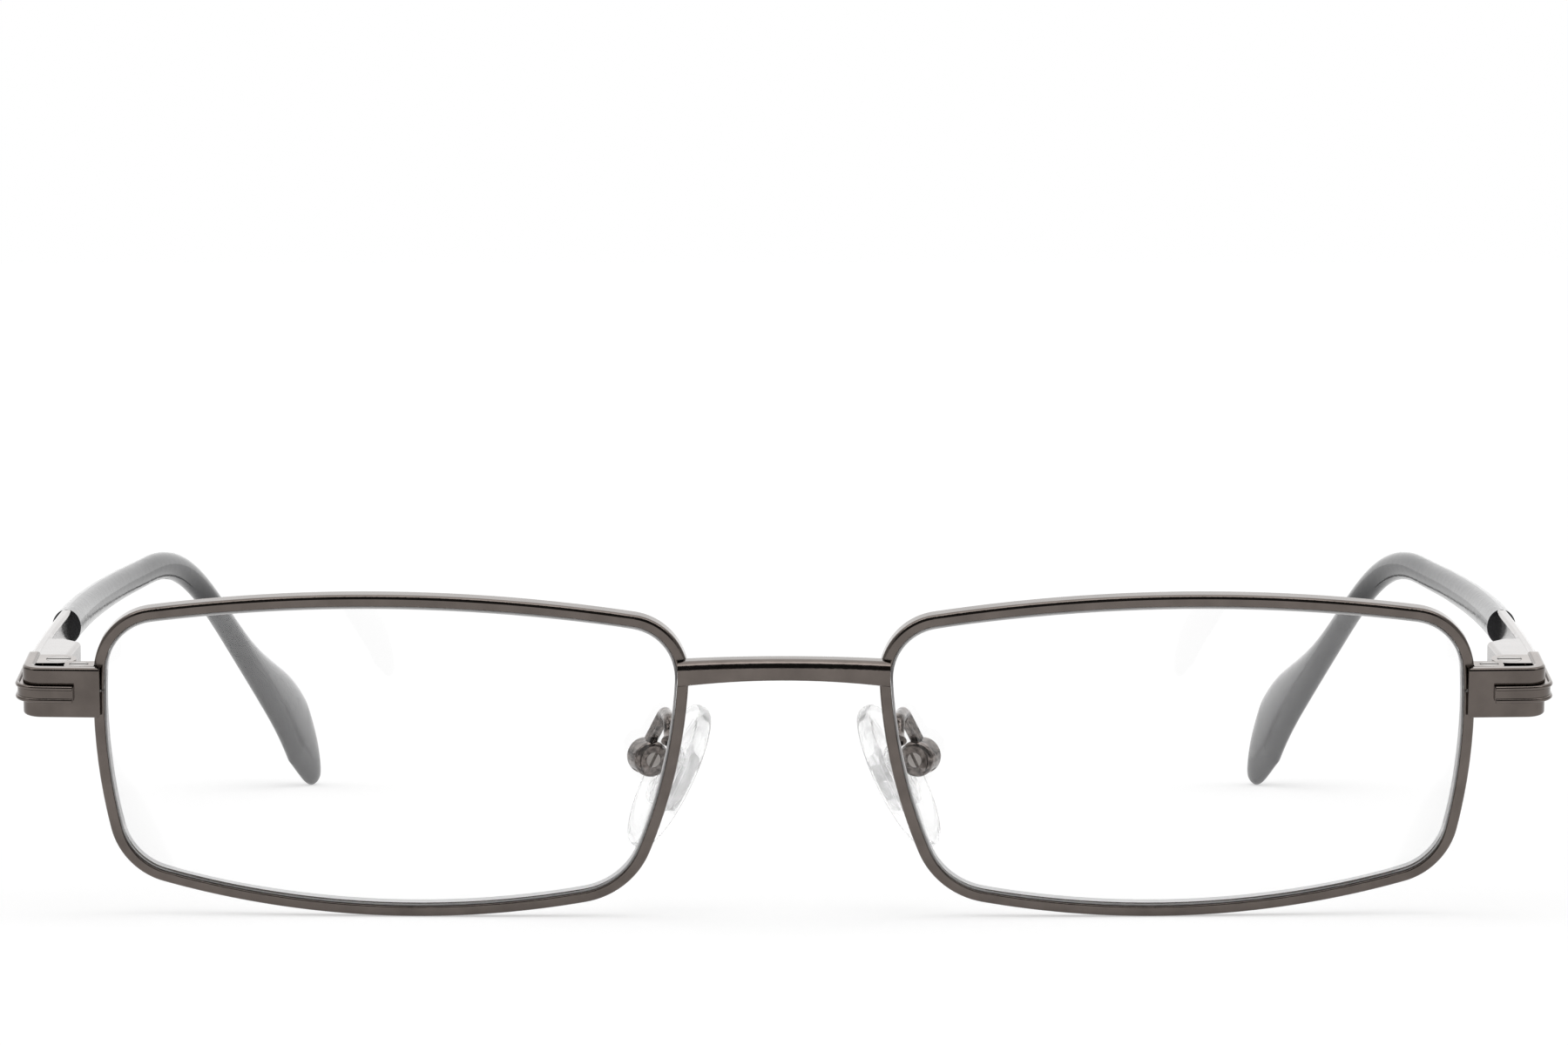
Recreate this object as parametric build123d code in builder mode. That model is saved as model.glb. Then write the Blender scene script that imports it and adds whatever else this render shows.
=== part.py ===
"""Rectangular full-rim metal eyeglasses, standing open on both rims and both temple tips.

Lengths are in millimetres. The front is drawn upright, seen from outside: x runs to the
right with 0 in the middle of the bridge, y runs back from the foremost point of the rims,
and z runs up from the rims' lowest points. Each piece of the right-hand side is drawn once
and mirrored for the other side. The temple is drawn in a frame of its own, with the hinge
axis at x = 0 and y running back along the temple. At the end everything is leaned forward
until rims and temple tips stand on one floor.
"""

import os
from math import atan2, cos, degrees, radians, sin, sqrt

from build123d import *

# Rim, seen from the front
rim_width = 54.6
rim_height = 30.2
rim_gap = 17.3
eyewire_width = 1.02
eyewire_depth = 1.8
eyewire_round = 0.15
eyewire_front_round = 0.4
top_bow = 3.0
nasal_bow = 1.7
bottom_bow = 2.6
temporal_bow = 1.35
temporal_top_radius = 6.4
nasal_top_radius = 6.0
nasal_bottom_radius = 7.6
temporal_bottom_radius = 6.3

# Corners before rounding: shares of half the rim's width outwards, and of its height upwards
temporal_top_shares = (0.978, 0.901)
nasal_top_shares = (-1.0, 0.900)
nasal_bottom_shares = (-0.800, 0.066)
temporal_bottom_shares = (0.910, 0.110)

# Sphere that rims and lenses follow, and how far its centre lies nosewards of the rim's
base_radius = 110.0
wrap_shift = 7.0

# Lens and the groove that holds it
groove_depth = 0.45
groove_width = 0.8
lens_thickness = 1.5
lens_play = 0.03
lens_edge_bevel = 0.2

# Bridge bar, lapped over the front of both rims
bridge_lap = 1.02
bridge_level = 22.85
bridge_end_height = 2.25
bridge_mid_height = 1.9
bridge_rise = 0.65
bridge_lap_thickness = 1.25
bridge_mid_depth = 2.2
bridge_bow = 0.9
bridge_round = 0.3
bridge_top_round = 0.9

# End piece: a plate over the rim's edge that turns back into a leg, with a raised rib
plate_lap = 0.75
plate_lap_thickness = 1.0
plate_level = 20.3
plate_height = 4.65
plate_thickness = 1.1
plate_slant = 0.3
end_piece_reach = 6.45
leg_back = 11.2
corner_radius = 1.9
end_piece_round = 0.3
rib_height = 1.2
rib_proud = 0.5
rib_start = 2.4

# Closing block behind the end piece, split level with the rim's slit
slit = 0.25
block_width = 2.6
block_depth = 2.0
block_height = 4.6
block_round = 0.3
rim_screw_head = 1.7
rim_screw_head_height = 0.7
screw_shank = 1.4
screw_slot_width = 0.3
screw_slot_depth = 0.3
screw_end_gap = 0.2
screw_tip_share = 0.15

# Hinge: a lug with two eyes on the leg, and the sprung tongue's eye between them
hinge_inset = 3.0
hinge_behind_rim = 9.1
hinge_rise = 0.3
lug_height = 3.6
lug_radius = 1.65
lug_base = 0.25
eye_height = 1.6
eye_radius = 1.5
hinge_screw_head = 2.2
hinge_screw_head_height = 0.4
shaft_play = 0.03
face_play = 0.04

# Spring box on the band's inner side, and what slides in it
box_start = 2.2
box_length = 13.0
box_inner = 0.6
box_height = 3.3
box_taper = 2.0
box_round = 0.45
tongue_width = 1.6
rod_out = 0.75
tongue_height = 1.15
tongue_length = 6.3
spring_travel = 1.2
rod_diameter = 0.7
rod_length = 6.4
shoulder_thickness = 0.6
chamber_diameter = 1.9
spring_diameter = 1.5
spring_wire = 0.24
spring_turns = 7
stop_diameter = 1.6
stop_thickness = 0.8
stop_room = 0.2

# Temple band, its core and the sleeve
decline = 6.2
over_open = 8.0
band_thickness = 1.0
band_height = 3.4
band_round = 0.3
bow_peak_offset = 3.3
bow_peak_at = 41.5
bow_out_radius = 1050.0
bow_in_radius = 258.0
bow_end_radius = 214.0
sleeve_start = 36.8
sleeve_thickness = 2.8
sleeve_height = 3.45
bend_start = 86.5
bend_radius = 30.5
bend_angle = 43.8
bend_thickness = 2.4
bend_height = 2.9
tip_length = 25.4
paddle_above = 5.2
paddle_below = 4.6
paddle_thickness = 2.8
tip_round = 5.3
core_thickness = 0.9
core_height = 2.0
core_from_tip = 18.4
core_play = 0.05

# Nose pad, its insert, cup and arm
pad_centre_out = 10.6
pad_centre_back = 10.0
pad_centre_up = 11.0
pad_frontal_angle = 31.0
pad_splay_angle = 25.0
pad_length = 14.6
pad_width = 7.6
pad_thickness = 2.1
pad_round = 0.9
insert_length = 6.0
insert_width = 3.2
insert_thickness = 0.7
lug_thickness = 1.15
lug_reach = 2.9
lug_lift = 0.8
pad_lug_radius = 0.75
cup_radius = 1.7
cup_length = 2.6
cup_round = 0.5
cup_swing_room = 0.4
pad_screw_head = 1.4
pad_screw_head_height = 0.35
pad_screw_shank = 0.9
arm_wire = 1.25
arm_foot_inset = 1.6
arm_foot_level = 15.4
arm_loop_top = 17.6
arm_loop_back = 1.6
arm_loop_shares = (0.1, 0.35)
arm_cup_lift = 1.6
arm_cup_side = 0.5
arm_bend = 0.9

# Even steps between the temple's sections
band_steps = 4
core_steps = 10
sleeve_steps = 13

# The tip's outline at even steps from the paddle's widest place to its end: shares of how far
# the paddle reaches above and below the middle line, and of its thickness
tip_above_shares = (1, 0.93, 0.76, 0.56, 0.31, 0.0, -0.33)
tip_below_shares = (1, 1, 1, 1, 0.99, 0.93, 0.63)
tip_thickness_shares = (1, 1, 0.98, 0.94, 0.86, 0.7, 0.36)

# Rounds in which the lean is worked out
lean_rounds = 6

# What every cut and every blank runs past the piece
overrun = 3.0

# Values that follow from the sizes above
rim_centre = rim_gap / 2 + rim_width / 2
front_half_width = rim_centre + rim_width / 2 + end_piece_reach
base_centre = (rim_centre - wrap_shift, base_radius, rim_height / 2)
lens_set_back = (eyewire_depth - lens_thickness) / 2
groove_set_back = (eyewire_depth - groove_width) / 2
plate_start = rim_centre + rim_width / 2 - plate_lap
plate_front = base_radius - sqrt(base_radius**2 - (plate_start - base_centre[0]) ** 2) - plate_lap_thickness
block_middle = (
    rim_centre + (rim_width + block_width) / 2,
    plate_front + plate_thickness + block_depth / 2,
)
hinge_out = front_half_width - hinge_inset
hinge_point = (hinge_out, hinge_behind_rim, plate_level + hinge_rise)

shoulder_back = tongue_length + face_play + shoulder_thickness
stop_front = tongue_length + rod_length - stop_thickness
core_start = sleeve_start - core_height / 2
bend_end = bend_start + bend_radius * radians(bend_angle)
temple_length = bend_end + tip_length
paddle_widest = temple_length - tip_round
core_end = temple_length - core_from_tip


def outline_point(shares):
    """Corner of the rim's outline from its two shares."""
    across, up = shares
    return (rim_centre + across * rim_width / 2, up * rim_height)


def base_depth(out, up):
    """How far back the base sphere's front lies at a place seen from the front."""
    return base_radius - sqrt(base_radius**2 - (out - base_centre[0]) ** 2 - (up - base_centre[2]) ** 2)


def rim_face(inset=0):
    """Face inside the rim's outline, drawn in by a width."""
    temporal_top = outline_point(temporal_top_shares)
    nasal_top = outline_point(nasal_top_shares)
    nasal_bottom = outline_point(nasal_bottom_shares)
    temporal_bottom = outline_point(temporal_bottom_shares)
    with BuildSketch(Plane.XZ) as face:
        with BuildLine():
            SagittaArc(temporal_top, nasal_top, -top_bow)
            SagittaArc(nasal_top, nasal_bottom, -nasal_bow)
            SagittaArc(nasal_bottom, temporal_bottom, -bottom_bow)
            SagittaArc(temporal_bottom, temporal_top, -temporal_bow)
        make_face()
        if inset:
            offset(amount=-inset)
        for corner, radius in (
            (temporal_top, temporal_top_radius),
            (nasal_top, nasal_top_radius),
            (nasal_bottom, nasal_bottom_radius),
            (temporal_bottom, temporal_bottom_radius),
        ):
            fillet(face.vertices().sort_by_distance(corner)[0], radius - inset)
    return face.sketch


def shell_of(face, front, back):
    """The face drawn through from front to back and kept between two depths of the base sphere."""
    with BuildPart() as blank:
        extrude(face, amount=-(rim_height + overrun))
        extrude(face, amount=overrun)
        with Locations(base_centre):
            Sphere(base_radius - front, mode=Mode.INTERSECT)
            Sphere(base_radius - back, mode=Mode.SUBTRACT)
    return blank.part


def side_point(along):
    """Place and downward turn, seen from the side, at a length along the temple's middle line."""
    turn = min(max((along - bend_start) / bend_radius, 0), radians(bend_angle))
    past = max(along - bend_end, 0)
    back = min(along, bend_start) + bend_radius * sin(turn) + past * cos(turn)
    drop = bend_radius * (1 - cos(turn)) + past * sin(turn)
    return back, -drop, turn


def bow(along):
    """How far outside the hinge axis the temple's middle line runs, and its slope."""
    radius = bow_out_radius if along < bow_peak_at else bow_in_radius
    past = max(along - bend_start, 0)
    start = along - past
    slope = -(start - bow_peak_at) / radius
    out = bow_peak_offset - (start - bow_peak_at) ** 2 / (2 * radius)
    return out + slope * past - past**2 / (2 * bow_end_radius), slope - past / bow_end_radius


def temple_plane(along, lift=0):
    """Plane square to the temple at a length along it, lifted by a height in that plane."""
    back, up, turn = side_point(along)
    out, slope = bow(along)
    square = Plane(origin=(out, back, up), x_dir=(1, 0, 0), z_dir=(-slope, -cos(turn), sin(turn)))
    return Plane(origin=square.from_local_coords((0, lift, 0)), x_dir=square.x_dir, z_dir=square.z_dir)


def eased(start, end, share):
    """Value between two sizes, with a smooth start and end."""
    share = min(max(share, 0), 1)
    return start + (end - start) * share * share * (3 - 2 * share)


def even_stations(start, end, steps):
    """Lengths along the temple from start to end in even steps."""
    return [start + (end - start) * step / steps for step in range(steps + 1)]


def sleeve_section(along):
    """Thickness of the sleeve, and how far it reaches above and below the middle line."""
    to_bend = (along - sleeve_start) / (bend_start - sleeve_start)
    to_paddle = min(max((along - bend_end) / (paddle_widest - bend_end), 0), 1)
    thickness = eased(sleeve_thickness, bend_thickness, to_bend)
    half = eased(sleeve_height, bend_height, to_bend) / 2
    thickness = eased(thickness, paddle_thickness, to_paddle)
    above = eased(half, paddle_above, to_paddle)
    below = half + (paddle_below - half) * to_paddle**3
    return thickness, above, below


def sleeve_stations():
    """The sleeve's stations up to its widest place, and those of its tip, each with its section."""
    run = even_stations(sleeve_start, paddle_widest, sleeve_steps)
    tip = even_stations(paddle_widest, temple_length, len(tip_above_shares) - 1)
    tip_sections = [
        (thick * paddle_thickness, above * paddle_above, below * paddle_below)
        for thick, above, below in zip(tip_thickness_shares, tip_above_shares, tip_below_shares)
    ]
    return [(station, sleeve_section(station)) for station in run], list(zip(tip, tip_sections))


def make_screw(head_diameter, head_height, shank_diameter, length):
    """Slotted screw drawn downwards from the top of its head at the origin."""
    with BuildPart() as screw:
        with BuildSketch():
            Circle(head_diameter / 2)
        extrude(amount=-head_height)
        with BuildSketch():
            Circle(shank_diameter / 2)
        extrude(amount=-length)
        chamfer(screw.faces().sort_by(Axis.Z)[0].edges(), shank_diameter * screw_tip_share)
        with BuildSketch():
            Rectangle(head_diameter + overrun, screw_slot_width)
        extrude(amount=-screw_slot_depth, mode=Mode.SUBTRACT)
    return screw.part


def make_rim():
    """Grooved eyewire, open at one slit behind the end piece."""
    with BuildPart() as rim:
        add(shell_of(rim_face(), 0, eyewire_depth))
        for end, radius in ((0, eyewire_front_round), (-1, eyewire_round)):
            face = rim.faces().filter_by(GeomType.SPHERE).sort_by(Axis.Y)[end]
            fillet(face.outer_wire().edges(), radius)
        add(shell_of(rim_face(eyewire_width), -overrun, eyewire_depth + overrun), mode=Mode.SUBTRACT)
        for end in (0, -1):
            face = rim.faces().filter_by(GeomType.SPHERE).sort_by(Axis.Y)[end]
            fillet(face.inner_wires()[0].edges(), eyewire_round)
        add(
            shell_of(rim_face(eyewire_width - groove_depth), groove_set_back, eyewire_depth - groove_set_back),
            mode=Mode.SUBTRACT,
        )
        with Locations((rim_centre + rim_width / 2, base_depth(plate_start, plate_level), plate_level)):
            Box(4 * eyewire_width, 4 * eyewire_depth, slit, mode=Mode.SUBTRACT)
    return rim


def make_lens():
    """Clear lens with the tongue round its edge that lies in the rim's groove."""
    with BuildPart() as lens:
        add(shell_of(rim_face(eyewire_width + lens_play), lens_set_back, eyewire_depth - lens_set_back))
        chamfer(lens.edges().filter_by(Axis.Y, reverse=True), lens_edge_bevel)
        add(
            shell_of(
                rim_face(eyewire_width - groove_depth + lens_play),
                groove_set_back + lens_play,
                eyewire_depth - groove_set_back - lens_play,
            )
        )
    return lens


def make_bridge():
    """Flat arched bar, bowed forwards, cut to lie over the front of both rims."""
    half_span = rim_gap / 2 + bridge_lap
    end_front = base_depth(half_span, bridge_level) - bridge_lap_thickness
    end_top = bridge_level + bridge_end_height / 2
    end_bottom = bridge_level - bridge_end_height / 2
    mid_top = bridge_level + bridge_rise + bridge_mid_height / 2
    mid_bottom = bridge_level + bridge_rise - bridge_mid_height / 2
    with BuildPart() as bridge:
        with BuildSketch(Plane.XZ):
            with BuildLine():
                ThreePointArc((-half_span, end_top), (0, mid_top), (half_span, end_top))
                Line((half_span, end_top), (half_span, end_bottom))
                ThreePointArc((half_span, end_bottom), (0, mid_bottom), (-half_span, end_bottom))
                Line((-half_span, end_bottom), (-half_span, end_top))
            make_face()
        extrude(amount=base_depth(0, 0) + overrun, both=True)
        with BuildSketch(Plane.XY):
            with BuildLine():
                ThreePointArc((-half_span, end_front), (0, end_front - bridge_bow), (half_span, end_front))
                Line((half_span, end_front), (half_span, end_front + bridge_mid_depth))
                ThreePointArc(
                    (half_span, end_front + bridge_mid_depth),
                    (0, end_front - bridge_bow + bridge_mid_depth),
                    (-half_span, end_front + bridge_mid_depth),
                )
                Line((-half_span, end_front + bridge_mid_depth), (-half_span, end_front))
            make_face()
        extrude(amount=rim_height + overrun, mode=Mode.INTERSECT)
        ends = bridge.faces().sort_by(Axis.X)[0].edges() + bridge.faces().sort_by(Axis.X)[-1].edges()
        long_edges = [edge for edge in bridge.edges() if edge not in ends]
        front_top = sorted(long_edges, key=lambda edge: (edge @ 0.5).Y - (edge @ 0.5).Z)[0]
        fillet([edge for edge in long_edges if edge is not front_top], bridge_round)
        front_top = bridge.edges().sort_by_distance(front_top @ 0.5)[0]
        fillet(front_top, bridge_top_round)
        blank = shell_of(rim_face(), 0, rim_height)
        add(blank, mode=Mode.SUBTRACT)
        add(mirror(blank, about=Plane.YZ, mode=Mode.PRIVATE), mode=Mode.SUBTRACT)
    return bridge


def plan_of_end_piece(proud, start, inner):
    """Outline from above of the plate, corner and leg: how far it stands proud, and its inner side."""
    outer = front_half_width + proud
    corner_front = plate_front + plate_slant - proud
    with BuildSketch(Plane.XY.offset(plate_level)) as plan:
        with BuildLine():
            Polyline(
                (start, plate_front - proud),
                (outer, corner_front),
                (outer, leg_back),
                (front_half_width - inner, leg_back),
                (front_half_width - inner, plate_front + plate_slant + inner),
                (start, plate_front + inner),
                close=True,
            )
        make_face()
        fillet(plan.vertices().sort_by_distance((outer, corner_front))[0], corner_radius + proud)
    return plan.sketch


def make_end_piece():
    """Plate lapped over the rim's edge, its corner and leg, with the rib that runs round them."""
    with BuildPart() as end_piece:
        extrude(plan_of_end_piece(0, plate_start, plate_thickness), amount=plate_height / 2, both=True)
        inner_corner = (
            front_half_width - plate_thickness,
            plate_front + plate_slant + plate_thickness,
            plate_level,
        )
        fillet(
            end_piece.edges().filter_by(Axis.Z).sort_by_distance(inner_corner)[0], corner_radius - plate_thickness
        )
        outside = end_piece.edges().filter_by(Axis.Z, reverse=True)
        fillet(outside, end_piece_round)
        extrude(plan_of_end_piece(rib_proud, plate_start + rib_start, rib_proud), amount=rib_height / 2, both=True)
        add(shell_of(rim_face(), 0, rim_height), mode=Mode.SUBTRACT)
    return end_piece


def make_closing_block(upward, end_piece):
    """Upper or lower half of the block that closes the rim, bored for its screw."""
    start = slit / 2 if upward else -block_height / 2
    with BuildPart() as block:
        with BuildSketch(Plane.XY.offset(plate_level + start)) as plan:
            with Locations((block_middle[0] - eyewire_width / 2, block_middle[1])):
                Rectangle(block_width + eyewire_width, block_depth)
            fillet(plan.vertices().group_by(Axis.X)[-1], block_round)
        extrude(amount=(block_height - slit) / 2)
        prism = extrude(rim_face(), amount=-(rim_height + overrun), mode=Mode.PRIVATE)
        add(prism, mode=Mode.SUBTRACT)
        add(end_piece, mode=Mode.SUBTRACT)
        with Locations((block_middle[0], block_middle[1], plate_level)):
            Cylinder(screw_shank / 2 + shaft_play, block_height + overrun, mode=Mode.SUBTRACT)
            if upward:
                with Locations((0, 0, block_height / 2)):
                    Cylinder(
                        rim_screw_head / 2 + shaft_play, 2 * rim_screw_head_height, mode=Mode.SUBTRACT
                    )
    return block


def make_hinge_lug():
    """Two eyes brazed to the leg's inner face, joined by a thin base in front of the tongue's bar."""
    leg_inner = front_half_width - plate_thickness
    half_gap = eye_height / 2 + face_play
    with BuildPart() as lug:
        for bottom in (-lug_height / 2, half_gap):
            with BuildSketch(Plane.XY.offset(hinge_point[2] + bottom)):
                with Locations(hinge_point[:2]):
                    Circle(lug_radius)
                with Locations(((hinge_out + leg_inner) / 2, hinge_behind_rim)):
                    Rectangle(leg_inner - hinge_out, 2 * lug_radius)
            extrude(amount=lug_height / 2 - half_gap)
        with Locations((leg_inner - lug_base / 2, hinge_behind_rim - lug_radius / 2, hinge_point[2])):
            Box(lug_base, lug_radius, lug_height)
        with Locations(hinge_point):
            Cylinder(screw_shank / 2 + shaft_play, lug_height + overrun, mode=Mode.SUBTRACT)
            with Locations((0, 0, lug_height / 2)):
                Cylinder(hinge_screw_head / 2 + shaft_play, 2 * hinge_screw_head_height, mode=Mode.SUBTRACT)
    return lug


def make_tongue():
    """Sprung tongue: the eye on the hinge screw, the bar that slides in the box, and its rod."""
    eye_plane = Plane(origin=(0, 0, 0), x_dir=(1, 0, 0), z_dir=(0, -sin(radians(decline)), cos(radians(decline))))
    with BuildPart() as tongue:
        with BuildSketch(eye_plane):
            Circle(eye_radius)
        extrude(amount=eye_height / 2, both=True)
        with BuildSketch(Plane.XZ.offset(-tongue_length)):
            with Locations((rod_out, 0)):
                Rectangle(tongue_width, tongue_height)
        extrude(amount=tongue_length)
        with BuildSketch(Plane.XZ.offset(-tongue_length)):
            with Locations((rod_out, 0)):
                Circle(rod_diameter / 2)
        extrude(amount=-rod_length)
        with BuildSketch(eye_plane):
            Circle(screw_shank / 2 + shaft_play)
        extrude(amount=eye_height, both=True, mode=Mode.SUBTRACT)
    return tongue


def make_spring():
    """Coil spring round the rod, between the box's shoulder and the stop."""
    height = stop_front - shoulder_back - 2 * spring_wire - 2 * face_play
    with BuildPart() as spring:
        with BuildLine() as line:
            Helix(height / spring_turns, height, (spring_diameter - spring_wire) / 2)
        with BuildSketch(Plane(origin=line.line @ 0, z_dir=line.line % 0)):
            Circle(spring_wire / 2)
        sweep()
    along_rod = Location((rod_out, shoulder_back + spring_wire + face_play, 0), (-90, 0, 0))
    return spring.part.moved(along_rod)


def make_stop():
    """Nut on the rod's end that holds the spring."""
    with BuildPart() as stop:
        with BuildSketch(Plane.XZ.offset(-stop_front)):
            with Locations((rod_out, 0)):
                Circle(stop_diameter / 2)
                Circle(rod_diameter / 2 + shaft_play / 2, mode=Mode.SUBTRACT)
        extrude(amount=-stop_thickness)
    return stop


def room_for_leg():
    """Space that the leg's end takes in the temple's frame when the temple is opened furthest."""
    level = Location((0, 0, 0), (decline, 0, 0)) * Location((0, 0, 0), (0, 0, over_open))
    leg_end = leg_back - hinge_behind_rim + face_play
    with BuildPart() as room:
        with Locations(level):
            with Locations((hinge_inset, leg_end - overrun, 0)):
                Box(2 * (plate_thickness + 2 * face_play), 2 * overrun, 2 * band_height)
    return room.part


def make_band():
    """Metal temple band with the thin core that runs on inside the sleeve."""
    with BuildPart() as band:
        for station in even_stations(box_start / 2, sleeve_start, band_steps):
            with BuildSketch(temple_plane(station)):
                RectangleRounded(band_thickness, band_height, band_round)
        loft()
        for station in even_stations(core_start, core_end, core_steps):
            with BuildSketch(temple_plane(station)):
                RectangleRounded(core_thickness, core_height, band_round)
        loft()
        add(room_for_leg(), mode=Mode.SUBTRACT)
    return band


def make_sleeve():
    """Long sleeve that bends down behind the ear and ends in a paddle, bored for the core."""
    with BuildPart() as sleeve:
        for stretch in sleeve_stations():
            for station, (thickness, above, below) in stretch:
                with BuildSketch(temple_plane(station, (above - below) / 2)):
                    Ellipse(thickness / 2, (above + below) / 2)
            loft()
        for station in even_stations(core_start, core_end + core_play, core_steps):
            with BuildSketch(temple_plane(station)):
                RectangleRounded(
                    core_thickness + 2 * core_play, core_height + 2 * core_play, band_round + core_play
                )
        loft(mode=Mode.SUBTRACT)
    return sleeve


def make_spring_box(band):
    """Box on the band's inner side, with the tongue's way in, a shoulder and the spring's chamber."""
    box_outer = bow(box_start)[0] + band_thickness / 4
    box_end = box_start + box_length
    with BuildPart() as box:
        with BuildSketch(Plane.XY):
            with BuildLine():
                Polyline(
                    (-box_inner, box_start),
                    (box_outer, box_start),
                    (box_outer, box_end),
                    (rod_out, box_end),
                    (-box_inner, box_end - box_taper),
                    close=True,
                )
            make_face()
        extrude(amount=box_height / 2, both=True)
        inner_faces = box.faces().filter_by(Axis.Z, reverse=True).sort_by(Axis.X)[:2]
        fillet([edge for face in inner_faces for edge in face.edges().filter_by(Axis.Z, reverse=True)], box_round)
        add(room_for_leg(), mode=Mode.SUBTRACT)
        add(band, mode=Mode.SUBTRACT)
        with BuildSketch(Plane.XZ.offset(-box_start)):
            with Locations((rod_out, 0)):
                Rectangle(tongue_width + 2 * face_play, tongue_height + 2 * face_play)
        extrude(amount=-(tongue_length + face_play - box_start), mode=Mode.SUBTRACT)
        with BuildSketch(Plane.XZ.offset(-tongue_length)):
            with Locations((rod_out, 0)):
                Circle(rod_diameter / 2 + shaft_play)
        extrude(amount=-rod_length, mode=Mode.SUBTRACT)
        with BuildSketch(Plane.XZ.offset(-shoulder_back)):
            with Locations((rod_out, 0)):
                Circle(chamber_diameter / 2)
        extrude(amount=-(tongue_length + rod_length + stop_room - shoulder_back), mode=Mode.SUBTRACT)
    return box


def pad_plane():
    """Plane of a nose pad's middle: x along its length, z out towards the rim."""
    splay = radians(pad_splay_angle)
    frontal = radians(pad_frontal_angle)
    across = Vector(sin(splay), cos(splay), 0)
    length = Vector(-sin(frontal), 0, cos(frontal))
    length = (length - across * length.dot(across)).normalized()
    return Plane(
        origin=(pad_centre_out, pad_centre_back, pad_centre_up), x_dir=length, z_dir=across.cross(length)
    )


def pad_screw_plane():
    """Plane square to the pad screw, seen from its head, with y towards the pad."""
    plane = pad_plane()
    middle = plane.from_local_coords((lug_lift, 0, lug_reach))
    return Plane(origin=middle, x_dir=plane.x_dir, z_dir=plane.y_dir)


def make_insert():
    """Stiff insert in the pad, with the bored lug that the pad screw holds."""
    screw_plane = pad_screw_plane()
    with BuildPart() as insert:
        with BuildSketch(pad_plane()):
            SlotOverall(insert_length, insert_width)
        extrude(amount=insert_thickness / 2, both=True)
        with BuildSketch(screw_plane):
            Circle(pad_lug_radius)
            with Locations((0, lug_reach / 2)):
                Rectangle(2 * pad_lug_radius, lug_reach)
        extrude(amount=lug_thickness / 2, both=True)
        with BuildSketch(screw_plane):
            Circle(pad_screw_shank / 2 + shaft_play)
        extrude(amount=lug_thickness, both=True, mode=Mode.SUBTRACT)
    return insert


def make_pad(insert):
    """Soft oval pad, hollow where the insert sits."""
    with BuildPart() as pad:
        with BuildSketch(pad_plane()):
            Ellipse(pad_length / 2, pad_width / 2)
        extrude(amount=pad_thickness / 2, both=True)
        fillet(pad.edges().filter_by(GeomType.ELLIPSE), pad_round)
        add(insert, mode=Mode.SUBTRACT)
    return pad


def make_cup():
    """Round cup at the arm's end, open below and towards the pad for the pad's lug."""
    screw_plane = pad_screw_plane()
    slot_top = pad_lug_radius + cup_swing_room
    slot_back = pad_lug_radius + face_play
    with BuildPart() as cup:
        with BuildSketch(screw_plane):
            Circle(cup_radius)
        extrude(amount=cup_length / 2, both=True)
        fillet(cup.edges().filter_by(GeomType.CIRCLE), cup_round)
        with BuildSketch(screw_plane):
            with Locations(((slot_top - 2 * cup_radius) / 2, (cup_radius - slot_back) / 2)):
                Rectangle(slot_top + 2 * cup_radius, cup_radius + slot_back)
        extrude(amount=lug_thickness / 2 + face_play, both=True, mode=Mode.SUBTRACT)
    return cup


def make_pad_arm(cup):
    """Looped wire from the rim's back to the top of the cup, with the cup's bore and counterbore."""
    screw_plane = pad_screw_plane()
    foot_out = rim_gap / 2 + arm_foot_inset
    foot_back = base_depth(foot_out, arm_foot_level) + eyewire_depth
    cup_top = screw_plane.from_local_coords((arm_cup_lift, -arm_cup_side, 0))
    with BuildPart() as arm:
        with BuildLine() as route:
            FilletPolyline(
                (foot_out, foot_back - eyewire_depth / 2, arm_foot_level),
                (foot_out + arm_loop_shares[0] * (cup_top.X - foot_out), foot_back + arm_loop_back, arm_loop_top),
                (foot_out + arm_loop_shares[1] * (cup_top.X - foot_out), cup_top.Y - arm_wire, arm_loop_top),
                (cup_top.X, cup_top.Y, cup_top.Z),
                radius=arm_bend,
            )
        with BuildSketch(Plane(origin=route.line @ 0, z_dir=route.line % 0)):
            Circle(arm_wire / 2)
        sweep()
        add(cup)
        with BuildSketch(screw_plane):
            with Locations((0, lug_reach / 2)):
                Rectangle(2 * (pad_lug_radius + cup_swing_room), lug_reach)
            Circle(pad_lug_radius + face_play)
        extrude(amount=lug_thickness / 2 + face_play, both=True, mode=Mode.SUBTRACT)
        with BuildSketch(screw_plane):
            Circle(pad_screw_shank / 2 + shaft_play)
        extrude(amount=cup_length, both=True, mode=Mode.SUBTRACT)
        with BuildSketch(screw_plane.offset(cup_length / 2 - pad_screw_head_height)):
            Circle(pad_screw_head / 2 + shaft_play)
        extrude(amount=pad_screw_head_height + overrun, mode=Mode.SUBTRACT)
        add(shell_of(rim_face(), 0, eyewire_depth), mode=Mode.SUBTRACT)
    return arm


def write_piece(node, placed, mirrored=False):
    """One finished piece, as drawn or mirrored to the other side, in a file of its own."""
    with BuildPart() as piece:
        add(placed)
        if mirrored:
            mirror(about=Plane.YZ, mode=Mode.REPLACE)
    piece.part.label = node
    export_step(piece.part, f"parts/{node}.step")


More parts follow.
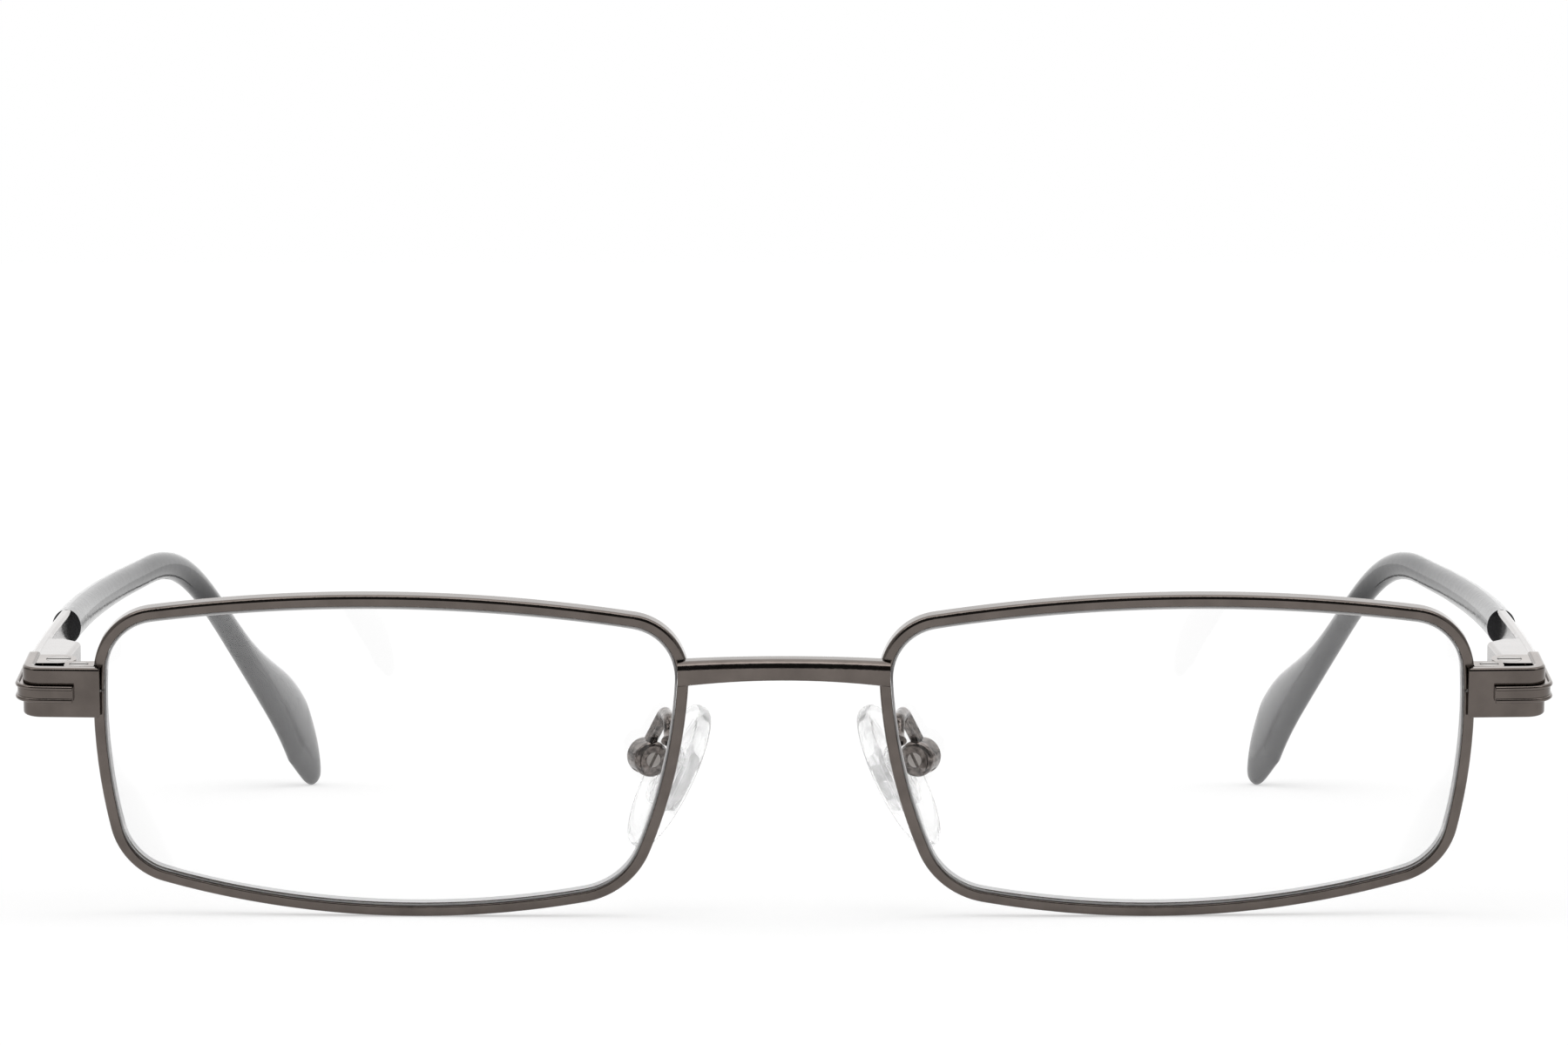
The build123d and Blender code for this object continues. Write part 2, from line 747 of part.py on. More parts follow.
# Pieces that belong to the front
end_piece = make_end_piece()
insert = make_insert()
rim_screw_place = Plane.XY.offset(plate_level + block_height / 2).location * Location((*block_middle, 0))
hinge_screw_place = Plane.XY.offset(hinge_point[2] + lug_height / 2).location * Location((*hinge_point[:2], 0))
pad_screw_place = pad_screw_plane().offset(cup_length / 2).location
front_pieces = {
    "rim": make_rim().part,
    "lens": make_lens().part,
    "end_piece": end_piece.part,
    "closing_block_upper": make_closing_block(True, end_piece.part).part,
    "closing_block_lower": make_closing_block(False, end_piece.part).part,
    "rim_screw": make_screw(
        rim_screw_head, rim_screw_head_height, screw_shank, block_height - screw_end_gap
    ).moved(rim_screw_place),
    "hinge_lug": make_hinge_lug().part,
    "hinge_screw": make_screw(
        hinge_screw_head, hinge_screw_head_height, screw_shank, lug_height - screw_end_gap
    ).moved(hinge_screw_place),
    "pad_arm": make_pad_arm(make_cup().part).part,
    "pad_screw": make_screw(
        pad_screw_head, pad_screw_head_height, pad_screw_shank, cup_length - screw_end_gap
    ).moved(pad_screw_place),
    "pad_insert": insert.part,
    "nose_pad": make_pad(insert.part).part,
}

# Pieces that belong to the temple, set on the hinge
band = make_band()
temple_seat = Location(hinge_point, (-decline, 0, 0))
temple_pieces = {
    "hinge_tongue": make_tongue().part,
    "hinge_spring": make_spring(),
    "spring_stop": make_stop().part,
    "spring_box": make_spring_box(band.part).part,
    "temple_band": band.part,
    "temple_sleeve": make_sleeve().part,
}
side_pieces = front_pieces | {name: piece.moved(temple_seat) for name, piece in temple_pieces.items()}
bridge = make_bridge().part

# Lean at which the rims and the temple tips reach down alike
lean = 0
for _ in range(lean_rounds):
    leaned = Location((0, 0, 0), (lean, 0, 0))
    rim_low = side_pieces["rim"].moved(leaned).bounding_box().min.Z
    tip_low = side_pieces["temple_sleeve"].moved(leaned).bounding_box().min.Z
    lean += degrees(atan2(rim_low - tip_low, temple_length))

# The floor lies at z = 0, with the origin under the middle of the whole
leaned = Location((0, 0, 0), (lean, 0, 0))
extent = Compound([piece.moved(leaned) for piece in side_pieces.values()] + [bridge.moved(leaned)]).bounding_box()
stance = Location((0, -extent.center().Y, -extent.min.Z)) * leaned

os.makedirs("parts", exist_ok=True)
write_piece("bridge", bridge.moved(stance))
for name, piece in side_pieces.items():
    write_piece(f"{name}_left", piece.moved(stance))
    write_piece(f"{name}_right", piece.moved(stance), mirrored=True)
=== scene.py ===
"""Looks of a pair of rectangular metal eyeglasses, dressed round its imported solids.

All sizes are in metres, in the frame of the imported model: +X is the wearer's left,
-Y is the front and +Z is up. The rims and both temple tips stand on z = 0.
"""

import logging
import math
from dataclasses import dataclass, field
from enum import Enum

import bpy
from mathutils import Matrix, Vector

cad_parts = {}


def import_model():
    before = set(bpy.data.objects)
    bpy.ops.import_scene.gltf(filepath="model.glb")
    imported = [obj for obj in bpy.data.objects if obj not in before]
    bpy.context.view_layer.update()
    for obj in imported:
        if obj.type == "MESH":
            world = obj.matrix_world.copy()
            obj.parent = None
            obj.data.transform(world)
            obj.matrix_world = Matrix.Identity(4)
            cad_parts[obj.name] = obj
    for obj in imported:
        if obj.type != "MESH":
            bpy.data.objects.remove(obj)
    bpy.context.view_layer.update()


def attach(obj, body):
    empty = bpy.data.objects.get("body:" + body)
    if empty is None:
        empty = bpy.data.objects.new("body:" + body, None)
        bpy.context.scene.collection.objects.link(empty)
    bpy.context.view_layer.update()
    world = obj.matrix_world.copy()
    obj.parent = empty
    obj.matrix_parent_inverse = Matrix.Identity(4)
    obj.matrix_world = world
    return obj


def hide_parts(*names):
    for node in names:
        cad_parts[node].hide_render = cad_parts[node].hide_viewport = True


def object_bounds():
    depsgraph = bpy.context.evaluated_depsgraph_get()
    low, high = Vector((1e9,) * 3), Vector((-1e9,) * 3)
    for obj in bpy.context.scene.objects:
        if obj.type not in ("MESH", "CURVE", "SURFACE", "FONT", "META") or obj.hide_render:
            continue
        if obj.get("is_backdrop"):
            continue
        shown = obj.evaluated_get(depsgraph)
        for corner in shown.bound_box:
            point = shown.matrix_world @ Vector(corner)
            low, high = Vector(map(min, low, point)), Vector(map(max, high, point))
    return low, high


LOG = logging.getLogger("eyeglasses")

MM = 0.001

# How far the front leans forward, and how close two vertices are one
LEAN_DEG = 9.468
MERGE_DISTANCE = 0.001 * MM

# Values between which nearly all of a noise lies
NOISE_LOW = 0.3
NOISE_HIGH = 0.7

# A colour, a place or a direction
Triple = tuple[float, float, float]
Socket = bpy.types.NodeSocket

UPWARD: Triple = (0.0, 0.0, 1.0)
WHITE: tuple[float, float, float, float] = (1.0, 1.0, 1.0, 1.0)


class Side(Enum):
    """The wearer's two sides."""

    LEFT = "left"
    RIGHT = "right"

    @property
    def sign(self) -> int:
        """Direction of this side along X."""
        return 1 if self is Side.LEFT else -1

    def node(self, name: str) -> str:
        """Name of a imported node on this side."""
        return f"{name}_{self.value}"


class Grain(Enum):
    """How a metal surface was finished before plating.

    The values are factors on the frequency of its noise along X, Y and Z.
    """

    SATIN = (1.0, 1.0, 1.0)
    DRAWN_SIDEWAYS = (0.06, 1.0, 1.0)
    DRAWN_BACKWARDS = (1.0, 0.05, 1.0)


class Graph:
    """Node tree that is filled in step by step."""

    def __init__(self, owner: bpy.types.ID) -> None:
        """Empty the tree of a material or world.

        Args:
            owner: The material or world.
        """
        owner.use_nodes = True
        self.nodes = owner.node_tree.nodes
        self.links = owner.node_tree.links
        self.nodes.clear()

    def add(self, kind: str, **values: float | tuple[float, ...]) -> bpy.types.Node:
        """Add a node.

        Args:
            kind: The node's type, without the leading ShaderNode.
            values: Constants for its sockets, named with underscores for spaces.

        Returns:
            The node.
        """
        node = self.nodes.new(f"ShaderNode{kind}")
        for name, value in values.items():
            node.inputs[name.replace("_", " ")].default_value = value
        return node

    def reckon(self, operation: str, *values: float | Socket) -> Socket:
        """Add a calculation.

        Args:
            operation: Its name.
            values: Its numbers or the sockets that give them.

        Returns:
            The result.
        """
        node = self.nodes.new("ShaderNodeMath")
        node.operation = operation
        for place, value in enumerate(values):
            if isinstance(value, Socket):
                self.links.new(value, node.inputs[place])
            else:
                node.inputs[place].default_value = value
        return node.outputs["Value"]

    def spread(
        self, value: Socket, low: float, high: float, start: float = 0.0, end: float = 1.0
    ) -> Socket:
        """Map one range of a value evenly onto another, and hold it beyond both ends.

        Args:
            value: The value.
            low: Result where the value is at the range's start.
            high: Result where the value is at the range's end.
            start: Start of the range.
            end: End of the range.

        Returns:
            The result.
        """
        node = self.add("MapRange", From_Min=start, From_Max=end, To_Min=low, To_Max=high)
        self.links.new(value, node.inputs["Value"])
        return node.outputs["Result"]

    def ramp(self, value: Socket, stops: tuple[tuple[float, Triple], ...]) -> Socket:
        """Turn a value into a colour.

        Args:
            value: A number from 0 to 1.
            stops: Places along the ramp with their colours.

        Returns:
            The colour.
        """
        node = self.nodes.new("ShaderNodeValToRGB")
        steps = node.color_ramp.elements
        while len(steps) < len(stops):
            steps.new(0.5)
        for step, (place, colour) in zip(steps, stops):
            step.position = place
            step.color = (*colour, 1.0)
        self.links.new(value, node.inputs["Fac"])
        return node.outputs["Color"]

    def rays(self, *kinds: str) -> Socket:
        """Find the rays of some kinds.

        Args:
            kinds: Outputs of the light path that tell the kinds.

        Returns:
            One for these rays, and nothing for others.
        """
        path = self.nodes.new("ShaderNodeLightPath")
        found = path.outputs[kinds[0]]
        for kind in kinds[1:]:
            found = self.reckon("MAXIMUM", found, path.outputs[kind])
        return found

    def mixed(self, share: Socket, first: bpy.types.Node, second: bpy.types.Node) -> bpy.types.Node:
        """Mix two shaders.

        Args:
            share: Share of the second one.
            first: The first shader.
            second: The second shader.

        Returns:
            The mixed shader.
        """
        node = self.nodes.new("ShaderNodeMixShader")
        self.links.new(share, node.inputs["Fac"])
        self.links.new(first.outputs[0], node.inputs[1])
        self.links.new(second.outputs[0], node.inputs[2])
        return node


class Surface(Graph):
    """Node tree of one finish."""

    def __init__(self, name: str) -> None:
        """Start an empty material with its shader and output.

        Args:
            name: Name of the material.
        """
        self.material = bpy.data.materials.new(name)
        super().__init__(self.material)
        self.shader = self.add("BsdfPrincipled")
        output = self.add("OutputMaterial")
        self.links.new(self.shader.outputs["BSDF"], output.inputs["Surface"])
        self.place = self.add("TexCoord")

    def set(self, **values: float) -> None:
        """Set constants on the shader's own sockets.

        Args:
            values: Socket names with underscores for spaces, and their values.
        """
        for name, value in values.items():
            self.shader.inputs[name.replace("_", " ")].default_value = value

    def noise(self, size: float, detail: float, stretch: Triple = Grain.SATIN.value) -> Socket:
        """Add a noise on object coordinates.

        Args:
            size: Size of one patch in metres.
            detail: Number of finer layers.
            stretch: Factors on the noise's frequency along X, Y and Z.

        Returns:
            The noise's value.
        """
        mapping = self.add("Mapping", Scale=stretch)
        self.links.new(self.place.outputs["Object"], mapping.inputs["Vector"])
        noise = self.add("TexNoise", Scale=1.0 / size, Detail=detail)
        self.links.new(mapping.outputs["Vector"], noise.inputs["Vector"])
        return noise.outputs["Fac"]

    def between(self, value: Socket, low: float, high: float) -> Socket:
        """Map a noise onto a range of values.

        Args:
            value: The noise.
            low: Result where the noise is low.
            high: Result where the noise is high.

        Returns:
            The result.
        """
        return self.spread(value, low, high, NOISE_LOW, NOISE_HIGH)

    def towards(self, direction: Triple) -> Socket:
        """Find how far the surface faces one way.

        Args:
            direction: The way, of length 1.

        Returns:
            Cosine of the angle between the surface's normal and the way.
        """
        product = self.nodes.new("ShaderNodeVectorMath")
        product.operation = "DOT_PRODUCT"
        product.inputs[1].default_value = direction
        self.links.new(self.place.outputs["Normal"], product.inputs[0])
        return product.outputs["Value"]

    def tones(self, value: Socket, dark: Triple, light: Triple) -> None:
        """Colour the surface between two tones by a noise.

        Args:
            value: The noise.
            dark: Colour where the noise is low.
            light: Colour where the noise is high.
        """
        self.feed("Base Color", self.ramp(value, ((NOISE_LOW, dark), (NOISE_HIGH, light))))

    def tone(self, colour: Triple, factor: Socket) -> None:
        """Give the surface one colour, made lighter or darker from place to place.

        Args:
            colour: The colour.
            factor: What it is multiplied by.
        """
        product = self.nodes.new("ShaderNodeVectorMath")
        product.operation = "SCALE"
        product.inputs[0].default_value = colour
        self.links.new(factor, product.inputs["Scale"])
        self.feed("Base Color", product.outputs["Vector"])

    def polish(
        self, value: Socket, roughness: float, least: float = 0.85, most: float = 1.2
    ) -> None:
        """Vary the surface's roughness by a noise.

        Args:
            value: The noise.
            roughness: The roughness to vary.
            least: Share of it where the noise is low.
            most: Share of it where the noise is high.
        """
        self.feed("Roughness", self.between(value, roughness * least, roughness * most))

    def relief(self, value: Socket, height: float) -> None:
        """Raise the surface by a noise.

        Args:
            value: The noise.
            height: Height of the relief in metres.
        """
        bump = self.add("Bump", Distance=height, Strength=1.0)
        self.links.new(value, bump.inputs["Height"])
        self.feed("Normal", bump.outputs["Normal"])

    def feed(self, socket: str, value: Socket) -> None:
        """Link a value to one of the shader's sockets."""
        self.links.new(value, self.shader.inputs[socket])


def scaled(colour: Triple, factor: float) -> Triple:
    """A colour made lighter or darker by a factor."""
    return tuple(min(channel * factor, 1.0) for channel in colour)


@dataclass(frozen=True)
class PlatedMetal:
    """A plated metal finish: its tone, gloss, grain under the plating and a painted highlight on
    top faces.
    """

    name: str
    colour: Triple
    roughness: float
    grain: Grain = Grain.SATIN
    grain_size: float = 0.12 * MM
    grain_height: float = 0.0006 * MM
    patch_size: float = 2.5 * MM
    unevenness: float = 0.12
    detail: float = 4.0

    # Painted highlight: how much lighter the colour is made on faces that look up, and the cosines
    # between which that painted highlight fades in
    painted_highlight_gain: float = 1.0
    painted_highlight_fade: tuple[float, float] = (0.9, 0.97)

    def material(self) -> bpy.types.Material:
        """Make the finish's material.

        Returns:
            The material.
        """
        surface = Surface(self.name)
        surface.set(Metallic=1.0)
        patches = surface.noise(self.patch_size, self.detail)
        dull, bright = 1.0 - self.unevenness, 1.0 + self.unevenness
        if self.painted_highlight_gain == 1.0:
            surface.tones(patches, scaled(self.colour, dull), scaled(self.colour, bright))
        else:
            worn = surface.between(patches, dull, bright)
            # Painted highlight: the base colour is made lighter where the face looks up
            painted_highlight = surface.spread(surface.towards(UPWARD), 1.0, self.painted_highlight_gain, *self.painted_highlight_fade)
            surface.tone(self.colour, surface.reckon("MULTIPLY", painted_highlight, worn))
        grain = surface.noise(self.grain_size, self.detail, self.grain.value)
        surface.polish(grain, self.roughness)
        surface.relief(grain, self.grain_height)
        return surface.material


@dataclass(frozen=True)
class Acetate:
    """Polished dark acetate, faintly streaked along its length."""

    name: str
    colour: Triple
    roughness: float = 0.12
    ior: float = 1.42
    streak_size: float = 1.6 * MM
    streak_detail: float = 3.0
    streak_stretch: Triple = (1.0, 0.25, 0.6)
    streak_tones: tuple[float, float] = (0.9, 1.12)
    gloss_size: float = 2.5 * MM
    gloss_detail: float = 2.0

    def material(self) -> bpy.types.Material:
        """Make the finish's material.

        Returns:
            The material.
        """
        surface = Surface(self.name)
        surface.set(IOR=self.ior)
        streaks = surface.noise(self.streak_size, self.streak_detail, self.streak_stretch)
        surface.tones(streaks, *(scaled(self.colour, tone) for tone in self.streak_tones))
        surface.polish(surface.noise(self.gloss_size, self.gloss_detail), self.roughness)
        return surface.material


@dataclass(frozen=True)
class ClearSolid:
    """A clear solid: hard insert or soft silicone."""

    name: str
    ior: float
    roughness: float
    tint: Triple
    reflection: float
    opacity: float
    haze_size: float = 4.0 * MM
    haze_detail: float = 2.0
    haze_tone: float = 0.985
    least_roughness: float = 0.8

    def material(self) -> bpy.types.Material:
        """Make the finish's material.

        Returns:
            The material.
        """
        surface = Surface(self.name)
        surface.set(
            IOR=self.ior, Transmission_Weight=1.0, Specular_IOR_Level=self.reflection,
            Alpha=self.opacity,
        )
        haze = surface.noise(self.haze_size, self.haze_detail)
        surface.tones(haze, scaled(self.tint, self.haze_tone), self.tint)
        surface.polish(haze, self.roughness, self.least_roughness)
        return surface.material


@dataclass(frozen=True)
class CoatedLens:
    """A coated lens: polished and clear on both faces, ground matt and pale round its edge."""

    name: str
    ior: float = 1.5
    reflection: float = 0.12
    face_opacity: float = 0.07
    edge_tone: float = 0.8
    edge_roughness: float = 0.35

    # Cosines of the angle to the front's own direction between which edge becomes face
    face_fade: tuple[float, float] = (0.80, 0.86)

    def material(self) -> bpy.types.Material:
        """Make the finish's material.

        Returns:
            The material.
        """
        surface = Surface(self.name)
        surface.set(IOR=self.ior, Specular_IOR_Level=self.reflection)
        lean = math.radians(LEAN_DEG)
        facing = surface.towards((0.0, math.cos(lean), math.sin(lean)))
        clear = surface.spread(surface.reckon("ABSOLUTE", facing), 0.0, 1.0, *self.face_fade)
        surface.feed("Transmission Weight", clear)
        surface.feed("Alpha", surface.spread(clear, 1.0, self.face_opacity))
        edge = (self.edge_tone,) * 3
        surface.feed("Base Color", surface.ramp(clear, ((0.0, edge), (1.0, (1.0, 1.0, 1.0)))))
        surface.feed("Roughness", surface.spread(clear, self.edge_roughness, 0.0))
        return surface.material


@dataclass
class Finishes:
    """Every finish on the eyeglasses, made once."""

    rim_plate: bpy.types.Material = field(init=False)
    bridge_plate: bpy.types.Material = field(init=False)
    end_plate: bpy.types.Material = field(init=False)
    temple_plate: bpy.types.Material = field(init=False)
    hinge_plate: bpy.types.Material = field(init=False)
    wire_plate: bpy.types.Material = field(init=False)
    screw_steel: bpy.types.Material = field(init=False)
    spring_steel: bpy.types.Material = field(init=False)
    lens: bpy.types.Material = field(init=False)
    acetate: bpy.types.Material = field(init=False)
    insert: bpy.types.Material = field(init=False)
    silicone: bpy.types.Material = field(init=False)
    solder: bpy.types.Material = field(init=False)

    def __post_init__(self) -> None:
        """Make the materials."""
        gunmetal = (0.132, 0.113, 0.102)
        self.rim_plate = PlatedMetal("gunmetal_satin", gunmetal, 0.16).material()
        self.bridge_plate = PlatedMetal(
            "gunmetal_drawn_sideways", gunmetal, 0.14, Grain.DRAWN_SIDEWAYS
        ).material()
        # The end plate's colour carries a painted highlight on faces that look up
        self.end_plate = PlatedMetal(
            "gunmetal_plate", scaled(gunmetal, 0.92), 0.12, Grain.DRAWN_SIDEWAYS, painted_highlight_gain=1.6
        ).material()
        self.temple_plate = PlatedMetal(
            "gunmetal_drawn_backwards", (0.16, 0.14, 0.13), 0.1, Grain.DRAWN_BACKWARDS
        ).material()
        # The polished hinge metal's colour carries a painted highlight on faces that look up
        self.hinge_plate = PlatedMetal(
            "gunmetal_polished", (0.2, 0.18, 0.168), 0.06, painted_highlight_gain=1.4
        ).material()
        self.wire_plate = PlatedMetal(
            "gunmetal_wire", (0.115, 0.1, 0.092), 0.06,
            grain_size=0.4 * MM, grain_height=0.03 * MM, patch_size=0.5 * MM, unevenness=0.85,
        ).material()
        self.screw_steel = PlatedMetal("screw_steel", (0.3, 0.28, 0.265), 0.08).material()
        self.spring_steel = PlatedMetal("spring_steel", (0.4, 0.4, 0.4), 0.2).material()
        self.solder = PlatedMetal(
            "plated_solder", (0.15, 0.13, 0.12), 0.22, grain_size=0.3 * MM
        ).material()
        self.lens = CoatedLens("coated_lens").material()
        self.acetate = Acetate("dark_acetate", (0.009, 0.009, 0.011)).material()
        self.insert = ClearSolid(
            "hard_clear_insert", ior=1.38, roughness=0.02, tint=(0.8, 0.8, 0.8),
            reflection=0.45, opacity=0.85,
        ).material()
        self.silicone = ClearSolid(
            "clear_silicone", ior=1.36, roughness=0.03, tint=(0.98, 0.98, 0.98),
            reflection=0.4, opacity=0.75,
        ).material()


def dress(node: str, material: bpy.types.Material) -> None:
    """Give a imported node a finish.

    Args:
        node: Name of the node.
        material: Its finish.
    """
    piece = bpy.data.objects[node]
    piece.data.materials.clear()
    piece.data.materials.append(material)
    LOG.info("%s has finish %s", node, material.name)


def only(piece: bpy.types.Object) -> None:
    """Select one object alone and make it active.

    Args:
        piece: The object.
    """
    bpy.ops.object.select_all(action="DESELECT")
    piece.select_set(True)
    bpy.context.view_layer.objects.active = piece


def merged_copy(node: str) -> bpy.types.Object:
    """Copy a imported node's mesh into a new object and join its loose triangles.

    Args:
        node: Name of the node.

    Returns:
        The copy.
    """
    copy = bpy.data.objects.new(f"{node}_copy", bpy.data.objects[node].data.copy())
    bpy.context.scene.collection.objects.link(copy)
    only(copy)
    bpy.ops.object.mode_set(mode="EDIT")
    bpy.ops.mesh.select_all(action="SELECT")
    bpy.ops.mesh.remove_doubles(threshold=MERGE_DISTANCE)
    bpy.ops.object.mode_set(mode="OBJECT")
    return copy


def turned(profile: tuple[tuple[float, float], ...], corners: int = 32) -> bpy.types.Object:
    """Model a round piece by pulling a disc out along Z.

    Args:
        profile: Heights and radii, from the disc to the far end.
        corners: Number of corners round it.

    Returns:
        The piece.
    """
    bpy.ops.object.select_all(action="DESELECT")
    level, radius = profile[0]
    bpy.ops.mesh.primitive_circle_add(
        vertices=corners, radius=radius, fill_type="NGON", location=(0.0, 0.0, level)
    )
    piece = bpy.context.active_object
    bpy.ops.object.transform_apply()
    bpy.ops.object.mode_set(mode="EDIT")
    bpy.ops.mesh.select_all(action="SELECT")
    for height, wide in profile[1:]:
        rise = (0.0, 0.0, height - level)
        bpy.ops.mesh.extrude_region_move(TRANSFORM_OT_translate={"value": rise})
        growth = wide / radius
        bpy.ops.transform.resize(
            value=(growth, growth, 1.0), center_override=(0.0, 0.0, height)
        )
        level, radius = height, wide
    bpy.ops.mesh.select_all(action="SELECT")
    bpy.ops.mesh.normals_make_consistent(inside=False)
    bpy.ops.object.mode_set(mode="OBJECT")
    return piece


def apply_modifiers(piece: bpy.types.Object) -> None:
    """Apply all modifiers of a piece, in order.

    Args:
        piece: The piece.
    """
    only(piece)
    for modifier in list(piece.modifiers):
        bpy.ops.object.modifier_apply(modifier=modifier.name)


def settle(piece: bpy.types.Object, name: str, place: Matrix) -> None:
    """Put a finished mesh in its place, with its object at the origin.

    Args:
        piece: The object.
        name: Its name.
        place: Where its own frame lies in the model's.
    """
    piece.name = name
    piece.data.name = name
    piece.data.transform(place @ piece.matrix_world)
    piece.matrix_world = Matrix.Identity(4)
    if place.determinant() < 0.0:
        piece.data.flip_normals()


def finish_off(piece: bpy.types.Object, sharp_deg: float, material: bpy.types.Material) -> None:
    """Smooth a modelled piece and give it its finish.

    Args:
        piece: The piece.
        sharp_deg: Angle in degrees above which an edge stays sharp.
        material: Its finish.
    """
    only(piece)
    bpy.ops.object.shade_smooth_by_angle(angle=math.radians(sharp_deg))
    piece.data.materials.append(material)


@dataclass(frozen=True)
class Stance:
    """How the glasses stand: the front is drawn upright, then leaned and set down."""

    # Moves of the leaned front, in millimetres
    back: float = -64.3387
    up: float = -0.2584

    def place(self, side: Side, origin: Triple, along: Vector, across: Vector) -> Matrix:
        """Place of a piece that is drawn for the left side.

        Args:
            side: The side that it goes to.
            origin: Its origin in the upright front, in millimetres.
            along: Its X direction there.
            across: Its Y direction there, square to X.

        Returns:
            The place in the model's frame.
        """
        axes = Matrix((along, across, along.cross(across))).transposed().to_4x4()
        upright = Matrix.Translation(Vector(origin) * MM) @ axes
        lean = Matrix.Rotation(math.radians(LEAN_DEG), 4, "X")
        down = Matrix.Translation(Vector((0.0, self.back, self.up)) * MM)
        mirror = Matrix.Scale(side.sign, 4, (1.0, 0.0, 0.0))
        return mirror @ down @ lean @ upright


@dataclass
class FrontRims:
    """Both eyewires with their lenses, the bridge bar and the blocks that close the rims."""

    finishes: Finishes

    def build(self) -> None:
        """Dress the nodes of the front."""
        dress("bridge", self.finishes.bridge_plate)
        for side in Side:
            dress(side.node("rim"), self.finishes.rim_plate)
            dress(side.node("lens"), self.finishes.lens)
            dress(side.node("closing_block_upper"), self.finishes.end_plate)
            dress(side.node("closing_block_lower"), self.finishes.rim_plate)
            dress(side.node("rim_screw"), self.finishes.screw_steel)


@dataclass
class Hinges:
    """End pieces with their beaded ribs, hinge lugs and screws, and the sprung tongues."""

    finishes: Finishes
    stance: Stance = Stance()

    # The rib in the upright front, in millimetres: where its face starts, the middle of its
    # round corner, how far out and back it reaches, and the heights of both edges
    rib_start: tuple[float, float] = (64.95, 3.764)
    rib_slope_deg: float = 3.24
    rib_corner: tuple[float, float] = (67.8, 6.309)
    rib_out: float = 70.18
    rib_back: float = 11.15
    rib_levels: tuple[float, float] = (19.72, 20.88)

    bead_radius: float = 0.22 * MM
    bead_corners: int = 12
    bead_steps: int = 12
    bead_sharp_deg: float = 50.0

    def rib_bead(self, side: Side, place: str, level: float) -> bpy.types.Object:
        """Model the round bead along one edge of an end piece's rib.

        Args:
            side: The wearer's side.
            place: The edge, as it is called in the piece's name.
            level: The edge's height in the upright front, in millimetres.

        Returns:
            The bead.
        """
        slope = math.radians(self.rib_slope_deg)
        quarter = math.pi / 2
        bpy.ops.object.select_all(action="DESELECT")
        bpy.ops.mesh.primitive_circle_add(
            vertices=self.bead_corners, radius=self.bead_radius, fill_type="NGON",
            rotation=(0.0, quarter, slope),
        )
        piece = bpy.context.active_object
        bpy.ops.object.transform_apply()
        start = Vector((*self.rib_start, 0.0))
        centre = Vector((*self.rib_corner, 0.0)) - start
        reach = self.rib_out - self.rib_corner[0]
        corner = centre + Vector((math.sin(slope), -math.cos(slope), 0.0)) * reach
        leg = (0.0, (self.rib_back - self.rib_corner[1]) * MM, 0.0)
        bpy.ops.object.mode_set(mode="EDIT")
        bpy.ops.mesh.select_all(action="SELECT")
        bpy.ops.mesh.extrude_region_move(TRANSFORM_OT_translate={"value": corner * MM})
        # The operator turns clockwise for a positive angle
        bpy.ops.mesh.spin(
            steps=self.bead_steps, angle=slope - quarter, center=centre * MM, axis=UPWARD
        )
        bpy.ops.mesh.extrude_region_move(TRANSFORM_OT_translate={"value": leg})
        bpy.ops.mesh.select_all(action="SELECT")
        bpy.ops.mesh.remove_doubles(threshold=MERGE_DISTANCE)
        bpy.ops.mesh.normals_make_consistent(inside=False)
        bpy.ops.object.mode_set(mode="OBJECT")
        origin = (*self.rib_start, level)
        seat = self.stance.place(side, origin, Vector((1.0, 0.0, 0.0)), Vector((0.0, 1.0, 0.0)))
        settle(piece, side.node(f"rib_bead_{place}"), seat)
        finish_off(piece, self.bead_sharp_deg, self.finishes.bridge_plate)
        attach(piece, "front")
        return piece

    def build(self) -> None:
        """Dress the nodes of both hinges and bead the ribs."""
        for side in Side:
            for place, level in zip(("lower", "upper"), self.rib_levels):
                LOG.info("%s modelled", self.rib_bead(side, place, level).name)
            dress(side.node("end_piece"), self.finishes.end_plate)
            dress(side.node("hinge_lug"), self.finishes.hinge_plate)
            dress(side.node("hinge_screw"), self.finishes.screw_steel)
            dress(side.node("hinge_tongue"), self.finishes.hinge_plate)
            dress(side.node("hinge_spring"), self.finishes.spring_steel)
            dress(side.node("spring_stop"), self.finishes.screw_steel)
            dress(side.node("spring_box"), self.finishes.temple_plate)


@dataclass
class Temples:
    """Metal bands and the long acetate sleeves."""

    finishes: Finishes

    def build(self) -> None:
        """Dress the nodes of both temples."""
        for side in Side:
            dress(side.node("temple_band"), self.finishes.temple_plate)
            dress(side.node("temple_sleeve"), self.finishes.acetate)


